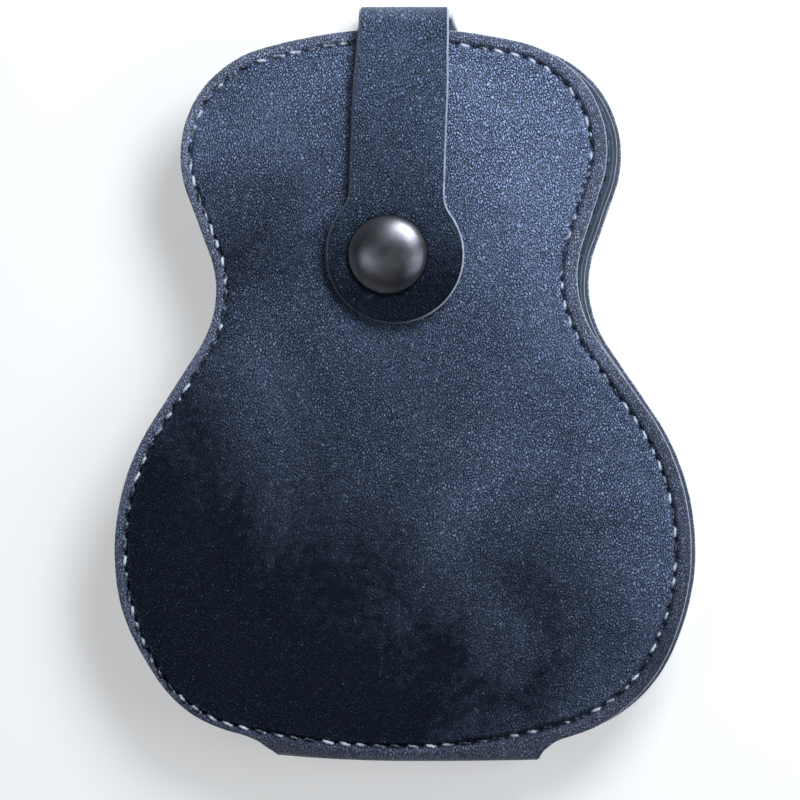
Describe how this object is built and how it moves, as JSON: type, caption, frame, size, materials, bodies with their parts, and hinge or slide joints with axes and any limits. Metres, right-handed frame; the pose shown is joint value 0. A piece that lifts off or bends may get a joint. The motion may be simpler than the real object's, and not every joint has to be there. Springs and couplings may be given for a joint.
{
  "type": "pick holder",
  "caption": "Folding leather guitar pick holder in the outline of a guitar body, with stitched edges, pocket tiers inside and a snap strap over the top.",
  "frame": {"origin": "middle of the back cover's outer face, on which the closed holder rests", "axes": "+X to the holder's right, +Y along the guitar outline towards the strap's bend, +Z out of the front cover"},
  "size_m": [0.0906, 0.1175, 0.0172],
  "materials": {
    "outer_leather": "navy pebbled leather, semi-matte",
    "inner_leather": "dark navy smooth lining leather",
    "pocket_leather": "navy pocket leather",
    "stiffener_board": "plain thin board",
    "thread": "waxed navy thread",
    "snap_metal": "gunmetal satin",
    "snap_inner_metal": "plain nickel"
  },
  "bodies": {
    "back_cover": {"back_cover_leather": "outer_leather", "back_stiffener": "stiffener_board", "back_lining": "inner_leather", "back_pocket_tier_1": "pocket_leather", "back_pocket_tier_2": "pocket_leather", "back_pocket_tier_3": "pocket_leather", "back_pocket_tier_4": "pocket_leather", "back_seam_stitches": "thread", "back_pocket_stitches": "thread"},
    "spine": {"spine_leather": "outer_leather", "spine_lining": "inner_leather"},
    "front_cover": {"front_cover_leather": "outer_leather", "front_stiffener": "stiffener_board", "front_lining": "inner_leather", "front_pocket_tier_1": "pocket_leather", "front_pocket_tier_2": "pocket_leather", "front_pocket_tier_3": "pocket_leather", "front_pocket_tier_4": "pocket_leather", "front_seam_stitches": "thread", "front_pocket_stitches": "thread", "snap_stud": "snap_inner_metal", "snap_eyelet": "snap_inner_metal"},
    "strap_rise": {"strap_rise_leather": "outer_leather"},
    "strap_flap": {"strap_flap_leather": "outer_leather", "snap_cap": "snap_metal", "snap_socket": "snap_inner_metal", "snap_spring_ring": "snap_inner_metal"}
  },
  "joints": [
    {"name": "spine_fold", "type": "hinge", "parent": "back_cover", "child": "spine", "pos_m": [0, -0.0563, 0.0007], "axis": [1, 0, 0], "range_deg": [0, 87]},
    {"name": "cover_fold", "type": "hinge", "parent": "spine", "child": "front_cover", "pos_m": [0, -0.0563, 0.0118], "axis": [1, 0, 0], "range_deg": [0, 87]},
    {"name": "strap_root_fold", "type": "hinge", "parent": "back_cover", "child": "strap_rise", "pos_m": [0, 0.0598, 0.0007], "axis": [-1, 0, 0], "range_deg": [0, 84]},
    {"name": "strap_top_fold", "type": "hinge", "parent": "strap_rise", "child": "strap_flap", "pos_m": [0, 0.0598, 0.0144], "axis": [-1, 0, 0], "range_deg": [0, 84]}
  ],
  "couplings": [
    {"joint": "cover_fold", "follows": "spine_fold", "ratio": 1},
    {"joint": "strap_top_fold", "follows": "strap_root_fold", "ratio": 1}
  ]
}
